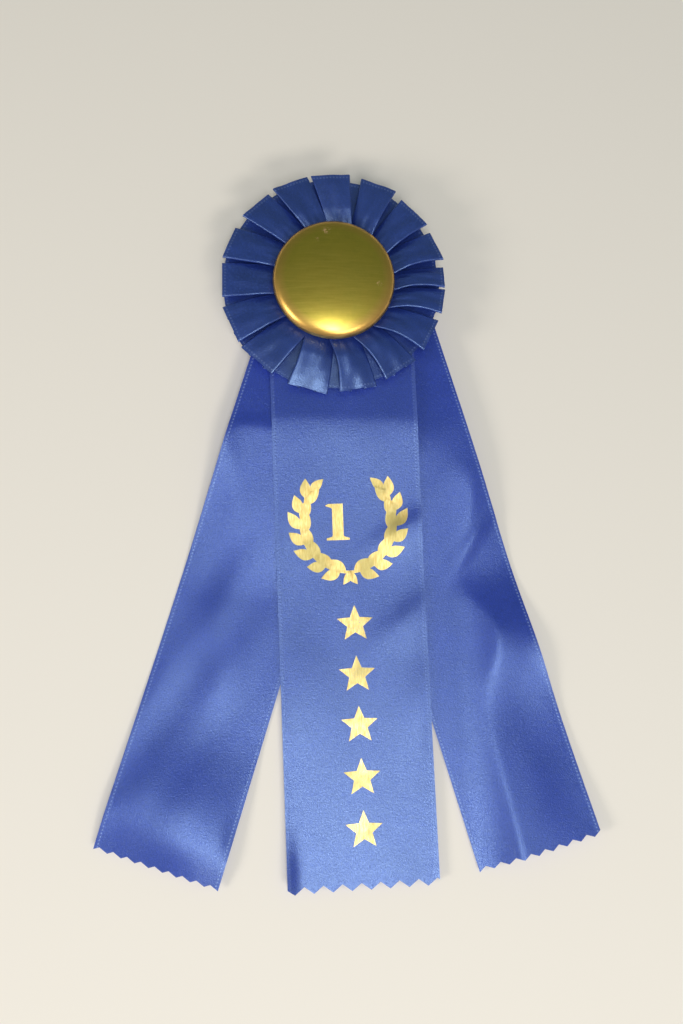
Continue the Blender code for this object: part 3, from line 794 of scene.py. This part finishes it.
def build_foil_wear():
    """Foil tone and wear on a map in mm: gold streaks along v, olive clouds and bare specks."""
    tree, start, end = new_group(
        "foil_wear",
        [("Map", VECTOR, None), ("Wear", FLOAT, 0.5)],
        [(label, FLOAT) for label in ("Streak", "Olive", "Bare")],
    )
    scale = add_node(tree, "ShaderNodeVectorMath", operation="MULTIPLY")
    scale.inputs[1].default_value = (2.2, 0.35, 1.0)
    join(tree, start.outputs["Map"], scale.inputs[0])
    streak = add_node(tree, "ShaderNodeTexNoise", Scale=1.0, Detail=3.0, Roughness=0.65)
    join(tree, scale.outputs[0], streak.inputs["Vector"])
    cloud = add_node(tree, "ShaderNodeTexNoise", Scale=0.06, Detail=2.0)
    join(tree, start.outputs["Map"], cloud.inputs["Vector"])
    speck = add_node(tree, "ShaderNodeTexNoise", Scale=3.2, Detail=3.0, Roughness=0.7)
    join(tree, start.outputs["Map"], speck.inputs["Vector"])
    bare = maths(tree, "ADD", speck.outputs["Fac"], maths(tree, "MULTIPLY", start.outputs["Wear"], 0.16))
    join(tree, spread(tree, streak.outputs["Fac"], 0.32, 0.68), end.inputs["Streak"])
    join(tree, spread(tree, cloud.outputs["Fac"], 0.46, 0.60), end.inputs["Olive"])
    join(tree, spread(tree, bare, 0.70, 0.76), end.inputs["Bare"])
    return tree


FOIL_WEAR = build_foil_wear()
FOIL_DULL, FOIL_BRIGHT, FOIL_OLIVE = (0.72, 0.50, 0.13), (0.96, 0.80, 0.38), (0.36, 0.33, 0.12)
BARE_BLUE = (0.10, 0.17, 0.45)


def make_foil(name, wear):
    """Stamped gold: metal varied by streaks and olive clouds, worn to blue in specks."""
    made, tree, shader = new_material(name)
    uv = add_node(tree, "ShaderNodeUVMap", uv_map="ribbon")
    group = add_node(tree, "ShaderNodeGroup", node_tree=FOIL_WEAR)
    join(tree, uv.outputs[0], group.inputs["Map"])
    group.inputs["Wear"].default_value = wear
    gold = mix_colour(tree, group.outputs["Streak"], FOIL_DULL, FOIL_BRIGHT)
    gold = mix_colour(tree, maths(tree, "MULTIPLY", group.outputs["Olive"], 0.7), gold, FOIL_OLIVE)
    colour = mix_colour(tree, group.outputs["Bare"], gold, BARE_BLUE)
    join(tree, colour, shader.inputs["Base Color"])
    join(tree, spread(tree, group.outputs["Bare"], 0.0, 1.0, 0.85, 0.1), shader.inputs["Metallic"])
    join(tree, spread(tree, group.outputs["Streak"], 0.0, 1.0, 0.48, 0.34), shader.inputs["Roughness"])
    bump = add_node(tree, "ShaderNodeBump", Strength=0.4, Distance=0.00003)
    join(tree, group.outputs["Streak"], bump.inputs["Height"])
    join(tree, bump.outputs[0], shader.inputs["Normal"])
    return made


FOIL_GOLD = make_foil("foil_gold", 0.25)
FOIL_WORN = make_foil("foil_gold_worn", 0.75)


def stamp(name, parts, material, merge=False):
    """A stamped shape that moves with the centre tail."""
    piece = make_piece(name, parts, material, merge=merge, sharp=40.0)
    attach(piece, "centre_tail")
    return piece


stamp("foil_wreath", wreath(WREATH_AT, 16.6, 17.0), FOIL_GOLD)
stamp("foil_numeral", [numeral_one(2.0, -83.1, 12.6)], FOIL_GOLD)
stamp("foil_stars", [star(x, y, 6.5, 2.4) for x, y in STARS], FOIL_WORN, merge=True)
print("foil stamped")

# %% [markdown]
# ## The pleated ruffle
# A ruffle is one long ribbon folded into box pleats and stitched down round a ring. Seen from
# above there are sixteen panels, with the ribbon doubling back under both edges of each. Copies
# of one panel would look moulded, so the path of the whole ribbon is worked out instead: across
# a panel, round a fold, back under it, across the gap below and up to the next. The fold
# angles are listed one by one, because hand-pressed pleats are never evenly spaced.

# %% Pleat table
# Both edges of each panel, in degrees from +X: RIM at the ruffle's rim, NECK at the button.
# RISING is 1 where the second edge is the high one, and -1 where the first is. LIFT is how far
# the high edge curls up at the rim, and BOW how far it bends sideways, both in mm.
PLEATS = 16
RIM = (
    (100.8, 82.5), (75.1, 57.5), (51.9, 34.2), (29.3, 13.9), (9.8, -0.6), (-2.0, -14.8),
    (-19.2, -36.7), (-43.6, -61.6), (-68.0, -86.2), (-93.5, -113.0), (-123.3, -143.5),
    (-147.0, -166.4), (-172.4, -189.8), (-193.1, -209.6), (-217.2, -234.0), (-238.1, -256.0),
)
NECK = (
    (93.8, 72.8), (72.9, 52.1), (51.9, 30.5), (32.0, 9.8), (12.0, -6.5), (-4.0, -24.8),
    (-22.0, -47.7), (-44.0, -69.8), (-66.0, -93.0), (-90.0, -116.6), (-116.8, -143.9),
    (-143.6, -168.6), (-168.3, -196.0), (-195.6, -220.4), (-220.0, -244.4), (-244.1, -265.5),
)
RISING = (1,) * 10 + (-1,) * 6
LIFT = (0.2, 0.3, 0.3, 0.7, 0.5, 1.0, 1.1, 0.9, 0.8, 0.5, 0.5, 0.4, 0.3, 0.3, 0.3, 0.3)
BOW = (0.2, 0.2, 0.3, 0.7, 1.0, 1.0, 1.0, 0.9, 1.0, 0.6, 0.4, 0.3, 0.3, 0.3, 0.2, 0.2)
RIM_R, NECK_R, INNER_R = 39.2, 21.0, 14.0
TOP_REACH = 1.0
TIP_UP = 1.5


# %% Ruffle path
def edge_line(neck_angle, rim_angle, rows, rim_r, bow):
    """An edge of a panel: out along its radius to the button, then on to the rim in a shallow bow.

    The bow moves it sideways by bow * sin(pi * share), and the panels at the top reach 1 mm more.
    """
    rim_r = rim_r + TOP_REACH * max(0.0, math.sin(math.radians(rim_angle)))
    reach = INNER_R + (rim_r - INNER_R) * rows
    neck = np.array([math.cos(math.radians(neck_angle)), math.sin(math.radians(neck_angle))])
    rim = np.array([math.cos(math.radians(rim_angle)), math.sin(math.radians(rim_angle))]) * rim_r
    share = np.clip((reach - NECK_R) / (rim_r - NECK_R), 0.0, 1.0)[:, None]
    inside = neck * np.minimum(reach, NECK_R)[:, None]
    run = rim - neck * NECK_R
    sideways = np.array([-run[1], run[0]]) / np.linalg.norm(run)
    return inside + run * share + sideways * bow * np.sin(math.pi * share)


def fold_run(here, there, z_here, z_there, out, count=5):
    """A turned fold: a half round from one height to the other, bulging by half its height."""
    turn = np.linspace(0.0, math.pi, count + 2)[1:-1, None]
    middle, half = (z_here + z_there) / 2, (z_here - z_there) / 2
    height = middle + half * np.cos(turn)
    share = (1 - np.cos(turn)) / 2
    bulge = (np.minimum(np.abs(half), 0.45) * np.sin(turn))[..., None]
    place = here * (1 - share[..., None]) + there * share[..., None] + out * bulge
    return np.concatenate([place, height[..., None]], axis=2)


def flat_run(here, there, z_here, z_there, count, crown=0.0):
    """A flat stretch from one edge to another, raised by crown in the middle."""
    q = np.linspace(0.0, 1.0, count)[:, None]
    place = here * (1 - q[..., None]) + there * q[..., None]
    height = z_here * (1 - q) + z_there * q + crown * np.sin(math.pi * q)
    return np.concatenate([place, height[..., None]], axis=2)


def unit(vector):
    """Vectors scaled to length one."""
    return vector / np.maximum(np.linalg.norm(vector, axis=-1, keepdims=True), 1e-9)


def panel_waves(rng, q, out):
    """A panel's own unevenness: two long waves that grow outwards and fine gathers at the neck."""
    wave = 0.22 * np.sin(q * rng.uniform(4, 7) + out * rng.uniform(2, 5) + rng.uniform(0, 6))
    wave = wave + 0.10 * np.sin(q * 11 - out * 6 + rng.uniform(0, 6))
    at_neck = np.exp(-((out - 0.08) / 0.28) ** 2)
    gather = 0.08 * np.sin(q * rng.uniform(15, 21) + rng.uniform(0, 6)) * at_neck
    return (wave * ease(out / 0.3) + gather * ease(out / 0.08)) * np.sin(math.pi * q)


def ruffle_grid(rows=27):
    """Middle points of the whole ruffle: along the ribbon by across it, closed on itself.

    With out = 0 at the neck and 1 at the rim, a panel's two edges lie at the heights high and
    low, the hidden ribbon between two panels at floor, and a folded layer gap below its panel.
    """
    rng = np.random.default_rng(16)
    share = np.linspace(0.0, 1.0, rows) ** 0.92
    out = np.clip((INNER_R + (RIM_R - INNER_R) * share - NECK_R) / (RIM_R - NECK_R), 0.0, 1.0)
    stations = [0.0, 0.12, 0.34, 0.6, 0.8, 1.0]
    high = np.interp(out, stations, [13.9, 14.75, 15.35, 14.7, 13.9, 12.7])
    low = np.interp(out, stations, [11.9, 12.35, 13.0, 12.8, 12.3, 11.4])
    floor = np.interp(out, [0.0, 0.5, 0.7, 1.0], [10.7, 10.3, 10.0, 9.7])
    gap = np.interp(out, [0.0, 1.0], [0.5, 0.85])

    def edge_heights(k):
        """Heights of the two edges of panel k; the panels at the top tip up at the rim."""
        tip_up = TIP_UP * max(0.0, math.sin(math.radians(sum(RIM[k]) / 2))) * out ** 2
        curled = high + (LIFT[k] * out ** 2 + tip_up)
        return (low + tip_up, curled) if RISING[k] > 0 else (curled, low + tip_up)

    edges = []
    for k in range(PLEATS):
        bows = (0.0, BOW[k]) if RISING[k] > 0 else (BOW[k], 0.0)
        pair = []
        for n in (0, 1):
            rim_r = RIM_R + rng.uniform(-0.3, 0.3)
            bow = bows[n] + rng.uniform(-0.2, 0.2)
            pair.append(edge_line(NECK[k][n], RIM[k][n], share, rim_r, bow))
        edges.append(pair)
    runs = []
    for k in range(PLEATS):
        nxt = (k + 1) % PLEATS
        first, last = edges[k]
        after, after_last = edges[nxt]
        z_first, z_last = edge_heights(k)
        z_next, z_next_last = edge_heights(nxt)
        way, next_way = unit(last - first), unit(after_last - after)
        wide = np.linalg.norm(last - first, axis=1, keepdims=True)
        next_wide = np.linalg.norm(after_last - after, axis=1)
        under = np.minimum(3.6, wide * 0.42)
        back, ahead = last - way * under, after + next_way * under
        z_back = z_last + (z_first - z_last) * (under / wide)[:, 0] - gap
        z_ahead = z_next + (z_next_last - z_next) * (under[:, 0] / next_wide) - gap
        panel = flat_run(first, last, z_first, z_last, 34, crown=0.35 * (1 - 0.5 * out))
        panel[..., 2] += panel_waves(rng, np.linspace(0.0, 1.0, 34)[:, None], out)
        lane = flat_run(back, ahead, floor, floor, 16)
        inset = (1.5 * out * ease((90 - abs(RIM[k][1] + 40)) / 60 + 0.3))[None, :, None]
        hollow = np.sin(math.pi * np.linspace(0, 1, 16))[:, None, None] ** 0.5
        lane[..., :2] -= unit(lane[..., :2]) * inset * hollow
        runs += [
            panel,
            fold_run(last, last, z_last, z_last - gap, way),
            flat_run(last, back, z_last - gap, z_back, 6),
            fold_run(back, back, z_back, floor, -way),
            lane,
            fold_run(ahead, ahead, floor, z_ahead, next_way),
            flat_run(ahead, after, z_ahead, z_next - gap, 6),
            fold_run(after, after, z_next - gap, z_next, -next_way),
        ]
    return np.concatenate(runs), share


ruffle_mid, ruffle_share = ruffle_grid()
step_along = np.linalg.norm(np.diff(ruffle_mid[:, -1], axis=0, append=ruffle_mid[:1, -1]), axis=1)
ruffle_length = float(step_along.sum())
walked = np.concatenate([[0.0], np.cumsum(step_along)])[: len(ruffle_mid)]
ruffle_u = np.broadcast_to((ruffle_share - 0.5) * RUFFLE_WIDTH, ruffle_mid.shape[:2])
ruffle_v = np.broadcast_to(walked[:, None], ruffle_mid.shape[:2])
ruffle_map = np.stack([ruffle_u, ruffle_v], axis=2)
ruffle_cloth = shell_arrays(ruffle_mid, 0.22, ruffle_map, wrap=True, lap=(0.0, ruffle_length))
ruffle = make_piece("ruffle_cloth", [ruffle_cloth], RUFFLE_SATIN_PAINTED_SHADE, sharp=70.0)
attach(ruffle, "rosette")
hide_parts("pleated_ruffle")
print("ruffle ribbon length", round(ruffle_length), "mm")

# %% [markdown]
# ## The domed button
# The middle of the rosette is a thin brass shell, spun to a shallow dome and rolled over at its
# rim. It is lathed here from the same outline as the solid under it, with many more steps, and a
# few shallow dents are pressed in, because thin soft brass always picks some up. The colour of
# such a button is nearly all reflection: bright where it mirrors a light, olive elsewhere.

# %% Button shell
BUTTON_OUTLINE = np.array((
    (0.0, 21.2), (5.0, 21.08), (10.0, 20.72), (14.0, 20.2), (17.2, 19.55), (19.2, 18.9), (20.4, 18.05),
    (21.0, 17.1), (21.2, 16.1), (21.0, 15.2), (20.4, 14.75), (19.8, 14.6), (19.6, 14.75), (19.75, 15.1),
    (20.3, 15.6), (20.55, 16.3), (20.4, 17.0), (19.85, 17.7), (18.9, 18.35), (17.0, 18.98), (13.9, 19.6),
    (10.0, 20.12), (5.0, 20.48), (0.0, 20.6),
))


def smooth_outline(outline, per_part=4):
    """A curve through every point of the outline: Catmull-Rom, the average of two parabolas.

    The outline starts and ends on the axis, so its neighbours there are mirrored across it.
    """
    padded = np.vstack([outline[1:2] * (-1, 1), outline, outline[-2:-1] * (-1, 1)])
    t = np.linspace(0.0, 1.0, per_part, endpoint=False)[None, :, None]
    a, b, c, d = (padded[i: len(outline) - 1 + i, None] for i in range(4))
    square, cube = 2 * a - 5 * b + 4 * c - d, 3 * b - a - 3 * c + d
    curve = 0.5 * (2 * b + (c - a) * t + square * t**2 + cube * t**3)
    curve = np.vstack([curve.reshape(-1, 2), outline[-1:]])
    curve[0, 0] = curve[-1, 0] = 0.0
    return np.maximum(curve, 0.0)


DOME_SHARE = 0.34
DENTS = ((-4.0, 14.5, 2.2, 0.10), (-6.5, 11.5, 1.6, 0.07), (-11.0, -4.0, 3.2, 0.02), (3.0, -9.0, 6.0, 0.02))


def button_arrays(steps=240):
    """The outline turned round the axis, less dents of deep * exp(-(distance / wide)^2) on the dome."""
    outline = smooth_outline(BUTTON_OUTLINE)
    angle = np.linspace(0.0, 2 * math.pi, steps, endpoint=False)[:, None]
    radius, height = outline[None, :, 0], outline[None, :, 1]
    x, y = radius * np.cos(angle), radius * np.sin(angle)
    z = np.broadcast_to(height, x.shape) + 0.0
    dome = (np.arange(len(outline)) < len(outline) * DOME_SHARE)[None, :]
    for dx, dy, wide, deep in DENTS:
        z = z - dome * deep * np.exp(-((x - dx) ** 2 + (y - dy) ** 2) / wide**2)
    points = np.stack([x, y, z], axis=2)
    index = np.arange(steps * len(outline)).reshape(steps, -1)
    after = np.roll(index, -1, axis=0)
    cells = [index[:, :-1], index[:, 1:], after[:, 1:], after[:, :-1]]
    quads = np.stack(cells, axis=-1).reshape(-1, 4)
    uv = points[..., :2].reshape(-1, 2)
    return points.reshape(-1, 3), quads, uv[quads]


# %% Brass
BRASS_PALE, BRASS_FILMED, BRASS_STREAK = (0.64, 0.52, 0.085), (0.50, 0.43, 0.070), (0.78, 0.60, 0.15)
# The copper tint is a painted warm reflection round the rim; the bare metal is scuffed wear.
COPPER_RIM_PAINTED_REFLECTION, BARE_METAL = (0.84, 0.47, 0.16), (0.95, 0.62, 0.36)
SCUFFS = (
    ((-0.0028, 0.0166, 0.0), 0.0019), ((-0.0060, 0.0130, 0.0), 0.0009), ((0.0155, -0.0025, 0.0), 0.0012),
)


def make_brass():
    """Brass: brushed streaks one way, a dull film in patches, a painted warm reflection as a copper tint
    round the rim, and three scuffs.
    """
    made, tree, shader = new_material("brass_spun")
    place = add_node(tree, "ShaderNodeTexCoord")
    move = add_node(tree, "ShaderNodeMapping")
    move.inputs["Location"].default_value = tuple(-AXIS)
    join(tree, place.outputs["Object"], move.inputs["Vector"])
    film = add_node(tree, "ShaderNodeTexNoise", Scale=120.0, Detail=4.0, Roughness=0.6)
    join(tree, move.outputs[0], film.inputs["Vector"])
    fine = add_node(tree, "ShaderNodeTexNoise", Scale=1600.0, Detail=2.0)
    join(tree, move.outputs[0], fine.inputs["Vector"])
    brushed = add_node(tree, "ShaderNodeMapping")
    brushed.inputs["Rotation"].default_value = (0.0, 0.0, math.radians(-6.0))
    brushed.inputs["Scale"].default_value = (90.0, 3400.0, 90.0)
    join(tree, move.outputs[0], brushed.inputs["Vector"])
    streak = add_node(tree, "ShaderNodeTexNoise", Scale=1.0, Detail=3.0, Roughness=0.6)
    join(tree, brushed.outputs[0], streak.inputs["Vector"])
    split = add_node(tree, "ShaderNodeSeparateXYZ")
    join(tree, move.outputs[0], split.inputs[0])
    wide = add_node(tree, "ShaderNodeVectorMath", operation="LENGTH")
    flat = add_node(tree, "ShaderNodeCombineXYZ")
    join(tree, split.outputs["X"], flat.inputs["X"])
    join(tree, split.outputs["Y"], flat.inputs["Y"])
    join(tree, flat.outputs[0], wide.inputs[0])
    # Painted reflection: a copper tint that grows from 16.5 to 20.5 mm out, all round the rim.
    rim = spread(tree, wide.outputs["Value"], 0.0165, 0.0205, 0.0, 0.75)
    scuff = None
    for spot, reach in SCUFFS:
        away = add_node(tree, "ShaderNodeVectorMath", operation="DISTANCE")
        away.inputs[1].default_value = spot
        join(tree, flat.outputs[0], away.inputs[0])
        near = spread(tree, away.outputs["Value"], reach * 0.3, reach, 1.0, 0.0)
        scuff = near if scuff is None else maths(tree, "MAXIMUM", scuff, near)
    scuff = maths(tree, "MULTIPLY", scuff, spread(tree, fine.outputs["Fac"], 0.48, 0.60))
    colour = mix_colour(tree, spread(tree, film.outputs["Fac"], 0.4, 0.65), BRASS_PALE, BRASS_FILMED)
    streaks = spread(tree, streak.outputs["Fac"], 0.35, 0.75, 0.0, 0.30)
    colour = mix_colour(tree, streaks, colour, BRASS_STREAK)
    # painted warm reflection: copper tint blended over the rim
    colour = mix_colour(tree, rim, colour, COPPER_RIM_PAINTED_REFLECTION)
    colour = mix_colour(tree, scuff, colour, BARE_METAL)
    join(tree, colour, shader.inputs["Base Color"])
    shader.inputs["Metallic"].default_value = 1.0
    haze = spread(tree, film.outputs["Fac"], 0.35, 0.7, 0.27, 0.35)
    haze = maths(tree, "ADD", haze, spread(tree, streak.outputs["Fac"], 0.3, 0.7, 0.0, 0.07))
    join(tree, maths(tree, "ADD", haze, maths(tree, "MULTIPLY", scuff, 0.25)), shader.inputs["Roughness"])
    bump = add_node(tree, "ShaderNodeBump", Strength=0.10, Distance=0.00002)
    join(tree, streak.outputs["Fac"], bump.inputs["Height"])
    join(tree, bump.outputs[0], shader.inputs["Normal"])
    return made


BRASS = make_brass()
button = make_piece("button_dome", [button_arrays()], BRASS, merge=True, sharp=80.0)
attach(button, "rosette")
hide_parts("button_shell")

# %% [markdown]
# ## Card, paper, steel, glue and thread
# Nobody looks at the back of a rosette until they pin it on, but it is where its making shows:
# pale board with fibres, a plain paper label, bright wire staples, rivets and a bar pin.
# These parts keep their solid shape and only get a better surface, one group shared by all.

# %% Small-part surfaces
def build_surface_grain():
    """Fibres and mottling in metres: a fine stretched noise and a broad soft one."""
    tree, start, end = new_group(
        "surface_grain",
        [("Place", VECTOR, None), ("Fine", FLOAT, 1200.0)],
        [("Fibre", FLOAT), ("Mottle", FLOAT)],
    )
    stretch = add_node(tree, "ShaderNodeVectorMath", operation="MULTIPLY")
    stretch.inputs[1].default_value = (1.0, 0.35, 1.0)
    join(tree, start.outputs["Place"], stretch.inputs[0])
    fibre = add_node(tree, "ShaderNodeTexNoise", Detail=4.0, Roughness=0.65)
    join(tree, stretch.outputs[0], fibre.inputs["Vector"])
    join(tree, start.outputs["Fine"], fibre.inputs["Scale"])
    mottle = add_node(tree, "ShaderNodeTexNoise", Scale=70.0, Detail=3.0)
    join(tree, start.outputs["Place"], mottle.inputs["Vector"])
    join(tree, spread(tree, fibre.outputs["Fac"], 0.3, 0.7), end.inputs["Fibre"])
    join(tree, spread(tree, mottle.outputs["Fac"], 0.35, 0.65), end.inputs["Mottle"])
    return tree


GRAIN = build_surface_grain()


def make_surface(name, light, dark, rough, metal=0.0, fine=1200.0, bump_by=0.3):
    """A small part's finish: two tones by mottling, roughness and bump by fibre."""
    made, tree, shader = new_material(name)
    place = add_node(tree, "ShaderNodeTexCoord")
    grain = add_node(tree, "ShaderNodeGroup", node_tree=GRAIN)
    join(tree, place.outputs["Object"], grain.inputs["Place"])
    grain.inputs["Fine"].default_value = fine
    tone = maths(tree, "ADD", maths(tree, "MULTIPLY", grain.outputs["Mottle"], 0.6),
                 maths(tree, "MULTIPLY", grain.outputs["Fibre"], 0.4))
    join(tree, mix_colour(tree, tone, light, dark), shader.inputs["Base Color"])
    haze = spread(tree, grain.outputs["Fibre"], 0.0, 1.0, rough - 0.06, rough + 0.06)
    join(tree, haze, shader.inputs["Roughness"])
    shader.inputs["Metallic"].default_value = metal
    bump = add_node(tree, "ShaderNodeBump", Strength=bump_by, Distance=0.00005)
    join(tree, grain.outputs["Fibre"], bump.inputs["Height"])
    join(tree, bump.outputs[0], shader.inputs["Normal"])
    return made


def dress(material, *nodes):
    """Gives these solid parts a new finish."""
    for name in nodes:
        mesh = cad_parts[name].data
        mesh.materials.clear()
        mesh.materials.append(material)


CARD_BOARD = make_surface("card_board", (0.80, 0.79, 0.74), (0.68, 0.66, 0.60), 0.85)
STEEL_WIRE = make_surface("steel_bright", (0.72, 0.72, 0.74), (0.56, 0.56, 0.58), 0.28, 1.0, 2600.0, 0.1)
GLUE = make_surface("glue_set", (0.74, 0.69, 0.53), (0.62, 0.55, 0.38), 0.34, 0.0, 300.0, 0.2)
THREAD = make_surface("thread_blue", (0.05, 0.09, 0.32), (0.025, 0.045, 0.18), 0.7, 0.0, 3200.0, 0.8)
LABEL = make_surface("label_paper", (0.87, 0.86, 0.82), (0.81, 0.79, 0.74), 0.78, 0.0, 900.0, 0.2)
dress(CARD_BOARD, "front_card", "back_card")
dress(STEEL_WIRE, "staple_left", "staple_right", "tail_rivet_left", "tail_rivet_right")
dress(STEEL_WIRE, "pin_bar", "pin_rivet", "pin_needle")
dress(GLUE, "centre_plug")
dress(THREAD, "stitch_ring")
dress(LABEL, "label_card")
dress(BRASS, "button_back")
print("small parts dressed")
